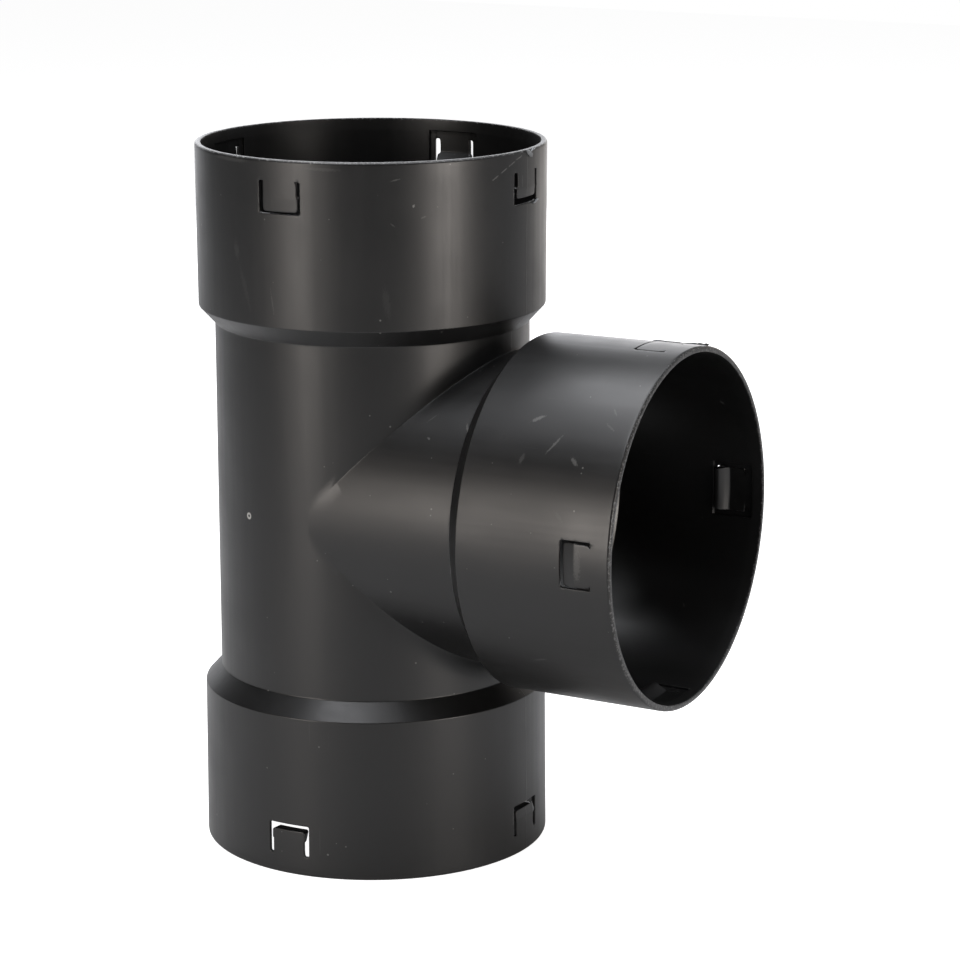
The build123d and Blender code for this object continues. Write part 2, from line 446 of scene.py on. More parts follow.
corners, inside = np.concatenate(quads), np.concatenate(inside_flags)
tee = bpy.data.objects.new("tee_skin", closed_mesh("tee_skin", corners, WELD, inside, 0 * inside))
bpy.context.collection.objects.link(tee)
bevel = tee.modifiers.new("soft_edges", "BEVEL")
bevel.width = EDGE_SOFTNESS * MM
bevel.segments = 2
bevel.limit_method = "ANGLE"
bevel.angle_limit = math.radians(EDGE_ANGLE)
bevel.use_clamp_overlap = False
weighted = tee.modifiers.new("even_shading", "WEIGHTED_NORMAL")
weighted.keep_sharp = True
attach(tee, "root")
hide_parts("tee_body")

# %% [markdown]
# A used fitting keeps slivers of flash: torn ones at the upper rim and in two of the slots, and a row
# of beads along the branch rim. Each sliver is a small closed spindle that swells in the middle. Its
# row below gives its centre, its two directions, then its length, width, thickness, curl and seed.

# %% Slivers of flash
def sliver(centre, along, across, length, width, thick, curl, seed):
    """Corner points of one spindle. With s from 0 to 1 along it and v round it, and w the power 0.7
    of sin(pi s), a point is centre + along (s - 1/2) length + across (width / 2) w r cos v
    + normal ((thick / 2) w r sin v + curl sin(pi s) sin(5 s + seed)), where r wobbles by up to a
    third with s and v."""
    along = np.array(along) / np.linalg.norm(along)
    across = np.array(across) - along * float(np.dot(along, across))
    across = across / np.linalg.norm(across)
    normal = np.cross(along, across)
    s, v = np.meshgrid(np.linspace(0, 1, 15), np.linspace(0, 2 * math.pi, 13), indexing="ij")
    swell = np.clip(np.sin(math.pi * s), 0, 1) ** 0.7
    swell = swell * (1 + 0.2 * np.sin(9 * s + seed) + 0.13 * np.sin(2 * v + 7 * s + seed))
    aside = (width / 2) * swell * np.cos(v)
    raised = (thick / 2) * swell * np.sin(v) + curl * np.sin(math.pi * s) * np.sin(5 * s + seed)
    points = (np.array(centre) + along * ((s - 0.5) * length)[..., None] + across * aside[..., None]
              + normal * raised[..., None])
    cells = np.stack([points[:-1, :-1], points[:-1, 1:], points[1:, 1:], points[1:, :-1]], axis=2)
    return cells.reshape(-1, 4, 3)


slivers = [
    sliver((62.9, 1.2, 253.7), (0.1, 0.75, -0.65), (0.5, 0.4, 0.6), 4.2, 1.9, 0.4, 0.5, 1.0),
    sliver((62.4, 4.4, 254.3), (-0.15, 1.0, 0.22), (0.6, 0.1, 0.8), 5.6, 1.1, 0.5, 0.3, 2.2),
    sliver((62.4, 6.6, 236.4), (-0.1, 1.0, 0.1), (0.8, 0.1, 0.5), 5.4, 1.5, 0.6, 0.3, 0.4),
    sliver((61.9, 1.5, 17.6), (0.0, 1.0, -0.35), (1.0, 0.1, 0.0), 7.0, 1.2, 0.5, 0.3, 3.0),
    sliver((61.6, 6.2, 14.6), (0.0, 0.3, -1.0), (1.0, 0.2, 0.0), 5.0, 1.0, 0.5, 0.3, 1.7),
    sliver((126.0, 9.5, 190.1), (0.0, 1.0, -0.16), (1.0, 0.0, 0.0), 4.2, 0.8, 0.5, 0.1, 0.9),
    sliver((125.9, 3.5, 64.5), (0.0, 1.0, 0.05), (1.0, 0.0, 0.1), 3.4, 0.9, 0.5, 0.1, 2.5),
    sliver((-60.6, 12.0, 254.5), (-0.2, -1.0, 0.0), (1.0, 0.2, 0.2), 3.2, 0.9, 0.4, 0.1, 1.2),
    sliver((109.5, 16.2, 189.1), (1.0, 0.0, 0.0), (0.0, 0.6, 0.6), 13.0, 0.7, 0.5, 0.1, 0.5),
    sliver((118.5, 16.1, 189.2), (1.0, 0.0, 0.02), (0.0, 0.6, 0.6), 6.5, 1.0, 0.6, 0.2, 1.9),
    sliver((122.6, 16.0, 189.3), (1.0, 0.1, 0.0), (0.0, 0.6, 0.6), 4.5, 1.1, 0.7, 0.3, 0.2),
    sliver((124.6, 14.2, 189.7), (0.7, 0.7, 0.0), (0.0, 0.6, 0.6), 3.0, 1.0, 0.6, 0.2, 2.6),
]
BEAD_WIDTH, BEAD_THICKNESS = 0.55, 0.6
TORN_SLIVERS, SMOOTH_SLIVERS, BEAD_PALENESS = 8, 4, 0.35
bead_angles = np.radians([-64, -70, -75, -83, -88, -95, -100, -108, -113, -121])
for number, turn in enumerate(bead_angles):
    radius = BRANCH_SOCKET_R - 0.42
    centre = (REACH - 0.35, radius * math.sin(turn), BRANCH_HEIGHT + radius * math.cos(turn))
    tangent = (0.0, math.cos(turn), -math.sin(turn))
    length = 1.1 + 0.9 * math.sin(5 * number) ** 2
    slivers.append(sliver(centre, tangent, (1, 0, 0), length, BEAD_WIDTH, BEAD_THICKNESS, 0.0, number))
paleness = [1.0] * TORN_SLIVERS + [0.0] * SMOOTH_SLIVERS + [BEAD_PALENESS] * len(bead_angles)
torn = np.repeat(paleness, [len(cells) for cells in slivers])
flash_cells = np.concatenate(slivers)
flash_low, flash_high = flash_cells.min(axis=(0, 1)), flash_cells.max(axis=(0, 1))
flash_cells = np.clip(flash_cells, np.array(cad_low) / MM + 0.01, np.array(cad_high) / MM - 0.01)
flash_mesh = closed_mesh("flash_slivers", flash_cells, WELD, 0 * torn, torn)
flash = bpy.data.objects.new("flash_slivers", flash_mesh)
bpy.context.collection.objects.link(flash)
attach(flash, "root")
print(len(slivers), "slivers of flash from", flash_low.round(2), "to", flash_high.round(2), "mm")

# %% [markdown]
# The finish is built from small shader groups, so that each effect can be tried alone and used on
# other black plastic pipe parts. Two short functions make the nodes and the groups.

# %% Node helpers
VECTOR, FLOAT = "NodeSocketVector", "NodeSocketFloat"


def wire(tree, value, socket):
    """Link an output to a socket, or set the socket to a plain value."""
    if isinstance(value, bpy.types.NodeSocket):
        tree.links.new(value, socket)
    else:
        socket.default_value = value


def node(tree, kind, settings, inputs):
    """A new node with its settings and its inputs, which are named or numbered."""
    made = tree.nodes.new(kind)
    for name, value in settings.items():
        setattr(made, name, value)
    for name, value in inputs.items():
        wire(tree, value, made.inputs[name])
    return made


def maths(tree, operation, a, b=0.0, c=0.0):
    """Output of one math node."""
    return node(tree, "ShaderNodeMath", {"operation": operation}, {0: a, 1: b, 2: c}).outputs[0]


def vectors(tree, operation, a, b=(0, 0, 0)):
    """First output of one vector math node."""
    return node(tree, "ShaderNodeVectorMath", {"operation": operation}, {0: a, 1: b}).outputs[0]


def measure(tree, operation, a, b=(0, 0, 0)):
    """Value output of one vector math node: a length, a distance or a dot product."""
    return node(tree, "ShaderNodeVectorMath", {"operation": operation}, {0: a, 1: b}).outputs["Value"]


def ramp(tree, value, low, high, out_low=0.0, out_high=1.0):
    """Smooth step of a value between two limits."""
    inputs = {"Value": value, "From Min": low, "From Max": high, "To Min": out_low, "To Max": out_high}
    return node(tree, "ShaderNodeMapRange", {"interpolation_type": "SMOOTHSTEP"}, inputs).outputs["Result"]


def noise(tree, where, scale, detail=2.0, roughness=0.5):
    """Value of a noise texture, near 0.5 on average."""
    inputs = {"Vector": where, "Scale": scale, "Detail": detail, "Roughness": roughness}
    return node(tree, "ShaderNodeTexNoise", {}, inputs).outputs["Fac"]


def new_group(name, inputs, outputs):
    """An empty shader group with its sockets, each given by name, kind and start value."""
    group = bpy.data.node_groups.new(name, "ShaderNodeTree")
    for label, kind, value in inputs:
        socket = group.interface.new_socket(name=label, in_out="INPUT", socket_type=kind)
        if value is not None:
            socket.default_value = value
    for label, kind in outputs:
        group.interface.new_socket(name=label, in_out="OUTPUT", socket_type=kind)
    return group, group.nodes.new("NodeGroupInput").outputs, group.nodes.new("NodeGroupOutput").inputs


def use_group(tree, group, inputs):
    """Outputs of a group placed in a material."""
    placed = node(tree, "ShaderNodeGroup", {"node_tree": group}, inputs)
    placed.label = group.name
    return placed.outputs


# %% [markdown]
# Moulded plastic keeps the fine grain of the mould, and flow lines that run along each barrel.
# Noise stretched along Z gives those lines on the run, and noise stretched along X on the branch.
# The group takes plain coordinates and the on_branch mark, and gives back the stretched coordinates.

# %% Coordinates along a barrel
def barrel_group():
    """Object coordinates shortened along the barrel they belong to."""
    group, given, result = new_group(
        "along_barrel",
        [("Coordinates", VECTOR, None), ("On Branch", FLOAT, 0.0), ("Shorten", FLOAT, 0.05)],
        [("Coordinates", VECTOR)])
    along_z = node(group, "ShaderNodeCombineXYZ", {}, {"X": 1.0, "Y": 1.0, "Z": given["Shorten"]}).outputs[0]
    along_x = node(group, "ShaderNodeCombineXYZ", {}, {"X": given["Shorten"], "Y": 1.0, "Z": 1.0}).outputs[0]
    stretch = node(group, "ShaderNodeMix", {"data_type": "VECTOR"}, {})
    wire(group, given["On Branch"], stretch.inputs["Factor"])
    wire(group, along_z, stretch.inputs[4])
    wire(group, along_x, stretch.inputs[5])
    wire(group, vectors(group, "MULTIPLY", given["Coordinates"], stretch.outputs[1]), result["Coordinates"])
    return group


along_barrel = barrel_group()
print("group", along_barrel.name)

# %% [markdown]
# Grain, cloudy patches and flow lines change how rough the surface is. Grain and flow lines also raise
# it by a few microns, and slow waves by up to a tenth of a millimetre. Scales are features per metre.

# %% Mould surface
def mould_group():
    """Roughness change from grain, clouds and flow lines, and height in mm from grain, flow and waves."""
    group, given, result = new_group(
        "mould_surface",
        [("Coordinates", VECTOR, None), ("Stretched", VECTOR, None)],
        [("Roughness Change", FLOAT), ("Height", FLOAT)])
    grain = noise(group, given["Coordinates"], 1400.0, 3.0, 0.6)
    clouds = noise(group, given["Coordinates"], 42.0, 3.0, 0.55)
    waves = noise(group, given["Coordinates"], 28.0, 1.0, 0.4)
    flow = noise(group, given["Stretched"], 420.0, 3.0, 0.6)
    rough = maths(group, "MULTIPLY", maths(group, "SUBTRACT", clouds, 0.5), 0.18)
    rough = maths(group, "MULTIPLY_ADD", maths(group, "SUBTRACT", flow, 0.5), 0.10, rough)
    rough = maths(group, "MULTIPLY_ADD", maths(group, "SUBTRACT", grain, 0.5), 0.05, rough)
    height = maths(group, "MULTIPLY", grain, 0.004)
    height = maths(group, "MULTIPLY_ADD", flow, 0.003, height)
    height = maths(group, "MULTIPLY_ADD", waves, 0.13, height)
    wire(group, rough, result["Roughness Change"])
    wire(group, height, result["Height"])
    return group


mould_surface = mould_group()
print("group", mould_surface.name)

# %% [markdown]
# Handling leaves pale dust specks and hair-thin scratches. Specks are the middles of a few cells of a
# cell pattern, picked by each cell's own random colour. Scratches are the crests of a noise that is
# stretched along the barrel, and only show inside cloudy patches.

# %% Specks and scratches
def handling_group():
    """Masks of pale specks and of fine scratches."""
    group, given, result = new_group(
        "handling_marks",
        [("Coordinates", VECTOR, None), ("Stretched", VECTOR, None), ("Share", FLOAT, 0.06)],
        [("Specks", FLOAT), ("Scratches", FLOAT)])
    cells = node(group, "ShaderNodeTexVoronoi", {}, {"Vector": given["Coordinates"], "Scale": 330.0})
    split = node(group, "ShaderNodeSeparateColor", {}, {"Color": cells.outputs["Color"]})
    picked = maths(group, "LESS_THAN", split.outputs["Red"], given["Share"])
    size = maths(group, "MULTIPLY_ADD", split.outputs["Green"], 0.09, 0.03)
    dot = ramp(group, maths(group, "SUBTRACT", cells.outputs["Distance"], size), 0.03, -0.02)
    wire(group, maths(group, "MULTIPLY", picked, dot), result["Specks"])
    lines = ramp(group, noise(group, given["Stretched"], 1500.0, 1.0, 0.5), 0.70, 0.80)
    patches = ramp(group, noise(group, given["Coordinates"], 60.0, 2.0, 0.5), 0.50, 0.68)
    wire(group, maths(group, "MULTIPLY", lines, patches), result["Scratches"])
    return group


handling_marks = handling_group()
print("group", handling_marks.name)

# %% [markdown]
# The larger marks each have a place. A mark is an ellipse round a short stroke with a ragged edge:
# with a the distance along the stroke and b the distance off it, it is pale where
# (a / half length) squared plus (b / half width) squared is below 1.

# %% Single marks
def mark_group():
    """Mask of one ragged stroke."""
    group, given, result = new_group(
        "single_mark",
        [("Coordinates", VECTOR, None), ("Centre", VECTOR, None), ("Direction", VECTOR, None),
         ("Half Length", FLOAT, 1.0), ("Half Width", FLOAT, 0.5), ("Raggedness", FLOAT, 0.0)],
        [("Mask", FLOAT)])
    offset = vectors(group, "SUBTRACT", given["Coordinates"], given["Centre"])
    along = measure(group, "DOT_PRODUCT", offset, given["Direction"])
    total = measure(group, "LENGTH", offset)
    along_squared = maths(group, "MULTIPLY", along, along)
    aside = maths(group, "SUBTRACT", maths(group, "MULTIPLY", total, total), along_squared)
    share = maths(group, "POWER", maths(group, "DIVIDE", along, given["Half Length"]), 2.0)
    width = maths(group, "MULTIPLY", given["Half Width"], given["Half Width"])
    share = maths(group, "ADD", share, maths(group, "DIVIDE", aside, width))
    edge = maths(group, "ADD", maths(group, "SQRT", share), given["Raggedness"])
    wire(group, ramp(group, edge, 1.0, 0.5), result["Mask"])
    return group


single_mark = mark_group()
print("group", single_mark.name)

# %% [markdown]
# Each mark's place is given as it could be measured on the fitting: the turn round the barrel in
# degrees, then the height on the run or the depth behind the branch's mouth in mm. The tilt is the
# stroke's angle from the barrel's axis. The barrel's section gives the radius at that place.

# %% Places on the surface
def surface_radius(socket_r, tube_r, depth):
    """Outer radius at a depth from the mouth, by straight lines along socket, shoulder and tube."""
    depths = [0, SOCKET_LENGTH, SOCKET_LENGTH + SHOULDER_HEIGHT]
    return float(np.interp(depth, depths, [socket_r, socket_r - SOCKET_LENGTH * TAPER, tube_r]))


def run_stroke(turn, height, tilt):
    """Centre and direction of a stroke on the run. The turn counts from +X round +Z.

    With a the turn and t the tilt, the direction is (0, 0, 1) cos t + (-sin a, cos a, 0) sin t."""
    a, t = math.radians(turn), math.radians(tilt)
    radius = surface_radius(RUN_SOCKET_R, RUN_TUBE_R, min(height, HEIGHT - height))
    centre = Vector((radius * math.cos(a), radius * math.sin(a), height))
    around = Vector((-math.sin(a), math.cos(a), 0))
    return centre, Vector((0, 0, 1)) * math.cos(t) + around * math.sin(t)


def branch_stroke(turn, depth, tilt, wall=0.0):
    """Centre and direction of a stroke on the branch. The turn counts from +Z towards +Y.

    With a the turn and t the tilt, the direction is (1, 0, 0) cos t + (0, cos a, -sin a) sin t."""
    a, t = math.radians(turn), math.radians(tilt)
    radius = surface_radius(BRANCH_SOCKET_R, BRANCH_TUBE_R, depth) - wall
    centre = Vector((REACH - depth, radius * math.sin(a), BRANCH_HEIGHT + radius * math.cos(a)))
    around = Vector((0, math.cos(a), -math.sin(a)))
    return centre, Vector((1, 0, 0)) * math.cos(t) + around * math.sin(t)


def inner_stroke(turn, depth, tilt):
    """A stroke on the inside of the branch, one wall further in."""
    return branch_stroke(turn, depth, tilt, WALL)


# %% [markdown]
# The marks that the photograph shows: scuffs and fingernail-sized rubs, thin scratches at the upper
# rim, one small ring and one dark spot. Pale lines at the edges of the slots and a pale band across
# the fold of the branch's front tab are painted highlights. A broad pale patch lies over the branch's top
# tab.

# %% The marks
# Surface, turn, height or depth, tilt, then the stroke's half length, half width and strength
PALE_MARKS_AND_HIGHLIGHTS = [
    (run_stroke, -46.4, 240.1, 0, 0.6, 0.45, 0.78),
    (run_stroke, -107.9, 222.3, -11, 3.6, 1.42, 0.06),
    (run_stroke, -104.2, 209.5, -17, 8.6, 1.12, 0.04),
    (run_stroke, -55.1, 207.1, -8, 6.0, 1.50, 0.04),
    (run_stroke, -52.0, 249.1, 77, 1.9, 0.30, 0.21),
    (run_stroke, -43.1, 236.1, 67, 1.3, 0.30, 0.21),
    (run_stroke, -53.0, 233.7, -52, 1.3, 0.30, 0.15),
    (run_stroke, -93.0, 205.9, -8, 5.6, 0.27, 0.15),
    (run_stroke, -4.8, 252.9, 73, 2.2, 0.26, 0.62),
    (run_stroke, -8.9, 251.2, 68, 2.3, 0.26, 0.56),
    (run_stroke, -12.9, 249.3, 65, 2.1, 0.26, 0.50),
    (run_stroke, -16.7, 247.3, 63, 2.0, 0.26, 0.42),
    # Painted highlight: a pale band across the fold of the branch's front tab.
    (branch_stroke, -90.0, 11.9, -90, 6.2, 1.40, 0.15),
    (branch_stroke, 0.0, 12.7, -90, 6.6, 4.60, 0.30),
    # Painted highlights on the edges of a slot and on a tab's rounded corner: this row and the next two.
    (run_stroke, -97.5, 240.4, -6, 1.7, 0.16, 0.22),
    (run_stroke, -96.2, 237.7, -63, 1.5, 0.16, 0.26),
    (run_stroke, -81.6, 241.3, -7, 2.0, 0.14, 0.20),
    (run_stroke, -2.8, 244.5, -4, 3.2, 0.15, 0.34),
    (run_stroke, 1.5, 245.7, -1, 3.9, 0.13, 0.34),
    # Painted highlights on the side and end edges of a slot: this row and the next.
    (run_stroke, -7.9, 240.3, -2, 2.8, 0.15, 0.44),
    (run_stroke, -4.0, 236.9, -89, 1.7, 0.15, 0.30),
    # Painted highlights on the side and end edges of a slot: this row and the next.
    (run_stroke, -8.0, 14.8, 2, 3.8, 0.16, 0.42),
    (run_stroke, 0.6, 18.6, -87, 3.9, 0.16, 0.45),
    (run_stroke, 0.8, 24.0, 0, 3.2, 0.13, 0.30),
    # Painted highlight on the side edge of a tab.
    (run_stroke, 5.3, 9.7, 0, 4.6, 0.22, 0.40),
    (run_stroke, -0.4, 12.0, -6, 2.0, 0.13, 0.26),
    (run_stroke, -109.9, 253.7, -89, 15.3, 0.90, 0.10),
    (run_stroke, -74.8, 252.6, -89, 7.9, 0.70, 0.08),
    (branch_stroke, -45.8, 35.6, 31, 3.0, 0.83, 0.39),
    (branch_stroke, -53.5, 26.4, 59, 5.0, 0.49, 0.24),
    (branch_stroke, -58.7, 17.7, -47, 2.1, 0.83, 0.24),
    (branch_stroke, -59.8, 37.2, 73, 2.3, 0.83, 0.10),
    (branch_stroke, -46.3, 8.4, -35, 2.6, 0.45, 0.15),
    (branch_stroke, -40.7, 8.9, -54, 2.3, 0.38, 0.15),
    (branch_stroke, -75.9, 19.7, -45, 2.3, 0.75, 0.06),
    (branch_stroke, -127.1, 32.2, 18, 3.4, 0.38, 0.15),
    (branch_stroke, -48.6, 64.8, -64, 2.2, 0.45, 0.30),
    (branch_stroke, -99.7, 63.9, 89, 3.0, 0.52, 0.36),
    (branch_stroke, -46.2, 79.4, 51, 2.9, 0.26, 0.15),
    (branch_stroke, -54.2, 78.0, -33, 0.9, 0.45, 0.30),
    (inner_stroke, 56.3, 12.0, 42, 1.2, 0.45, 0.21),
    (inner_stroke, 132.4, 23.3, 56, 1.0, 0.38, 0.18),
    (inner_stroke, 80.7, 43.9, 0, 7.6, 0.22, 0.03),
    (inner_stroke, 146.6, 37.2, -8, 7.0, 0.22, 0.03),
]
RING_MARK = run_stroke(-111.2, 126.6, 0)[0]
DARK_MARK = branch_stroke(-53.3, 45.9, 0)[0]
print(len(PALE_MARKS_AND_HIGHLIGHTS), "pale marks, one ring and one dark spot")

# %% [markdown]
# The mould closed on the plane through both axes and left a fine raised line there: it runs down the
# run's sides and along the top and bottom of the branch. Rims are paler in flecks, partly from wear and
# partly as a painted highlight along their edges. The pale lines at the slot edges are painted highlights
# among the marks.

# %% Parting line and pale rims with a painted highlight
def seam_group():
    """Height of the parting line on the plane Y = 0."""
    group, given, result = new_group("parting_line", [("Coordinates", VECTOR, None)], [("Height", FLOAT)])
    parts = node(group, "ShaderNodeSeparateXYZ", {}, {"Vector": given["Coordinates"]})
    drift = maths(group, "SUBTRACT", noise(group, given["Coordinates"], 0.35, 2.0), 0.5)
    wobble = maths(group, "MULTIPLY", drift, 0.35)
    away = maths(group, "ABSOLUTE", maths(group, "ADD", parts.outputs["Y"], wobble))
    strength = ramp(group, noise(group, given["Coordinates"], 0.12, 2.0), 0.30, 0.60, 0.35, 1.0)
    wire(group, maths(group, "MULTIPLY", ramp(group, away, 0.28, 0.05), strength), result["Height"])
    return group


def rim_group():
    """Mask of the pale rim: flecks within about a millimetre of a mouth's plane, partly wear and partly a
    painted highlight along the rim edge.
    """
    group, given, result = new_group("pale_rim_wear_and_highlight", [("Coordinates", VECTOR, None)], [("Mask", FLOAT)])
    parts = node(group, "ShaderNodeSeparateXYZ", {}, {"Vector": given["Coordinates"]})
    bottom = parts.outputs["Z"]
    top = maths(group, "SUBTRACT", HEIGHT, parts.outputs["Z"])
    front = maths(group, "SUBTRACT", REACH, parts.outputs["X"])
    nearest = maths(group, "MINIMUM", maths(group, "MINIMUM", bottom, top), front)
    fleck = noise(group, given["Coordinates"], 1.1, 4.0, 0.7)
    ragged = maths(group, "MULTIPLY", maths(group, "SUBTRACT", fleck, 0.5), 3.2)
    rim_band_wear_and_highlight = ramp(group, maths(group, "ADD", nearest, ragged), 0.40, -0.10)
    wire(group, maths(group, "MULTIPLY", rim_band_wear_and_highlight, ramp(group, fleck, 0.50, 0.38, 0.08, 1.0)), result["Mask"])
    return group


parting_line, pale_rim_wear_and_highlight = seam_group(), rim_group()
print("groups", parting_line.name, "and", pale_rim_wear_and_highlight.name)

# %% [markdown]
# Black polyethylene gets its colour from carbon black, so it is close to black all through, and what
# shows is its soft gloss. The inside is a little smoother than the outside, because the core that
# formed it was polished so that the moulding would slide off.

# %% Black plastic
BASE = (0.0040, 0.0040, 0.0041, 1)
# Colour of dust, scuffs, and the painted highlights at the slot edges, tab corners and the tab fold.
PALE = (0.34, 0.34, 0.33, 1)
# Rim colour: partly wear, partly a painted highlight along the rim edges.
RIM_WEAR_AND_HIGHLIGHT = (0.10, 0.10, 0.10, 1)
TORN = (0.16, 0.17, 0.18, 1)
ROUGHNESS, INSIDE_ROUGHNESS, MARK_ROUGHNESS = 0.39, -0.05, 0.25
SPECK_STRENGTH, SCRATCH_STRENGTH, DUST_LOST_INSIDE = 0.24, 0.035, 0.8
SPECK_SHARE, MARK_PALENESS, SEAM_HEIGHT = 0.10, 0.5, 0.04
RING_RADIUS, RING_STRENGTH = 0.85, 2.0


def blend(tree, factor, a, b):
    """Mix of two colours."""
    made = node(tree, "ShaderNodeMix", {"data_type": "RGBA"}, {"Factor": factor})
    wire(tree, a, made.inputs["A"])
    wire(tree, b, made.inputs["B"])
    return made.outputs["Result"]


def all_marks(tree, where):
    """The strongest of all the pale marks with the ring, and the dark spot; some pale marks are painted
    highlights. One noise roughens every edge.
    """
    rag = maths(tree, "MULTIPLY_ADD", noise(tree, where, 1.4, 4.0, 0.75), 2.6, -1.3)
    pale = None
    for surface, turn, along, tilt, length, width, strength in PALE_MARKS_AND_HIGHLIGHTS:
        centre, direction = surface(turn, along, tilt)
        stroke = {"Coordinates": where, "Centre": centre, "Direction": direction,
                  "Half Length": length, "Half Width": width, "Raggedness": rag}
        mask = use_group(tree, single_mark, stroke)["Mask"]
        mask = maths(tree, "MULTIPLY", mask, strength)
        pale = mask if pale is None else maths(tree, "MAXIMUM", pale, mask)
    from_ring = measure(tree, "DISTANCE", where, RING_MARK)
    band = maths(tree, "ABSOLUTE", maths(tree, "SUBTRACT", from_ring, RING_RADIUS))
    ring = maths(tree, "MULTIPLY", ramp(tree, band, 0.55, 0.15), RING_STRENGTH)
    from_spot = measure(tree, "DISTANCE", where, DARK_MARK)
    return maths(tree, "MAXIMUM", pale, ring), ramp(tree, from_spot, 1.3, 0.5)


def black_plastic():
    """Dark moulded plastic with its grain, flow lines, specks, scuffs and parting line, painted highlights at
    the slot edges and the tab fold, and pale rims that are partly wear and partly painted highlight.
    """
    material = bpy.data.materials.new("black_plastic")
    material.use_nodes = True
    tree = material.node_tree
    shader = tree.nodes["Principled BSDF"]
    place = node(tree, "ShaderNodeTexCoord", {}, {}).outputs["Object"]
    in_mm = vectors(tree, "MULTIPLY", place, (1000, 1000, 1000))
    inside = node(tree, "ShaderNodeAttribute", {"attribute_name": "inside"}, {}).outputs["Fac"]
    on_branch = node(tree, "ShaderNodeAttribute", {"attribute_name": "on_branch"}, {}).outputs["Fac"]
    barrel = {"Coordinates": place, "On Branch": on_branch, "Shorten": 0.03}
    stretched = use_group(tree, along_barrel, barrel)["Coordinates"]
    torn = node(tree, "ShaderNodeAttribute", {"attribute_name": "torn"}, {}).outputs["Fac"]
    mould = use_group(tree, mould_surface, {"Coordinates": place, "Stretched": stretched})
    dusty = {"Coordinates": place, "Stretched": stretched, "Share": SPECK_SHARE}
    handling = use_group(tree, handling_marks, dusty)
    pale, dark = all_marks(tree, in_mm)
    rim = use_group(tree, pale_rim_wear_and_highlight, {"Coordinates": in_mm})["Mask"]
    seam = use_group(tree, parting_line, {"Coordinates": in_mm})["Height"]

    specks = maths(tree, "MULTIPLY", handling["Specks"], SPECK_STRENGTH)
    scratches = maths(tree, "MULTIPLY", handling["Scratches"], SCRATCH_STRENGTH)
    outside = maths(tree, "SUBTRACT", 1.0, maths(tree, "MULTIPLY", inside, DUST_LOST_INSIDE))
    dust = maths(tree, "MULTIPLY", maths(tree, "MAXIMUM", specks, scratches), outside)
    # paleness holds dust specks, scratches and scuffs, and also the painted highlights at the slot edges, tab
    # corners and tab fold.
    paleness = maths(tree, "MAXIMUM", maths(tree, "MULTIPLY", pale, MARK_PALENESS), dust)
    # The rim colour is partly wear and partly a painted highlight along the rim edges.
    colour = blend(tree, rim, BASE, RIM_WEAR_AND_HIGHLIGHT)
    colour = blend(tree, torn, colour, TORN)
    colour = blend(tree, paleness, colour, PALE)
    wire(tree, colour, shader.inputs["Base Color"])

    rough = maths(tree, "MULTIPLY_ADD", inside, INSIDE_ROUGHNESS, ROUGHNESS)
    rough = maths(tree, "ADD", rough, mould["Roughness Change"])
    rough = maths(tree, "MULTIPLY_ADD", pale, MARK_ROUGHNESS, rough)
    rough = maths(tree, "MULTIPLY_ADD", dark, MARK_ROUGHNESS, rough)
    wire(tree, rough, shader.inputs["Roughness"])

    height = maths(tree, "MULTIPLY_ADD", seam, SEAM_HEIGHT, mould["Height"])
    bump = node(tree, "ShaderNodeBump", {}, {"Strength": 1.0, "Distance": 0.001, "Height": height})
    wire(tree, bump.outputs["Normal"], shader.inputs["Normal"])
    shader.inputs["IOR"].default_value = 1.5
    return material


finish = black_plastic()
tee.data.materials.append(finish)
flash.data.materials.append(finish)
print("material", finish.name, "has", len(finish.node_tree.nodes), "nodes")

# %% [markdown]
# The tee stands on a matt pale floor in front of a white surrounding. The camera alone sees floor and
# surrounding as pure white, as in the photograph, so no extra light is needed on the tee for that.

# %% Floor and world
FLOOR_HALF = 3.0
FLOOR_SEEN, FLOOR_GLOW = 0.95, 0.17
WORLD_SEEN, WORLD_GLOW = 1.0, 0.02


def camera_only(tree, seen, otherwise):
    """Colour output that is one grey to the camera and another to every other ray."""
    paths = tree.nodes.new("ShaderNodeLightPath").outputs["Is Camera Ray"]
    return blend(tree, paths, (otherwise, otherwise, otherwise, 1), (seen, seen, seen, 1))


def pale_floor():
    """A matt square sheet with a little light of its own, more of it for the camera."""
    mesh = bpy.data.meshes.new("floor")
    corners = [(x * FLOOR_HALF, y * FLOOR_HALF, 0) for x, y in ((-1, -1), (1, -1), (1, 1), (-1, 1))]
    mesh.from_pydata(corners, [], [[0, 1, 2, 3]])
    sheet = bpy.data.objects.new("floor", mesh)
    bpy.context.collection.objects.link(sheet)
    material = bpy.data.materials.new("floor_white")
    material.use_nodes = True
    tree = material.node_tree
    shader = tree.nodes["Principled BSDF"]
    shader.inputs["Base Color"].default_value = (0.5, 0.5, 0.5, 1)
    shader.inputs["Roughness"].default_value = 0.9
    shader.inputs["Specular IOR Level"].default_value = 0.0
    wire(tree, camera_only(tree, FLOOR_SEEN, FLOOR_GLOW), shader.inputs["Emission Color"])
    shader.inputs["Emission Strength"].default_value = 1.0
    mesh.materials.append(material)
    return sheet


pale_floor()
world = bpy.data.worlds.new("studio")
bpy.context.scene.world = world
world.use_nodes = True
background = world.node_tree.nodes["Background"]
wire(world.node_tree, camera_only(world.node_tree, WORLD_SEEN, WORLD_GLOW), background.inputs["Color"])
print("floor and world are white to the camera")

# %% [markdown]
# Warm soft boxes left and right of the camera make the upright bands on every barrel. Wide cooler
# lights overhead make the bright band along the top of the branch, and panels beside and behind the
# tee give dark plastic its bright edges at a glancing angle.

# %% Lamps
CAMERA_BEARING = 28.57
LAMP_AIM = Vector((0.03, 0, 0.13))
WARM, COOL = (1.0, 0.93, 0.87), (0.955, 0.965, 1.0)


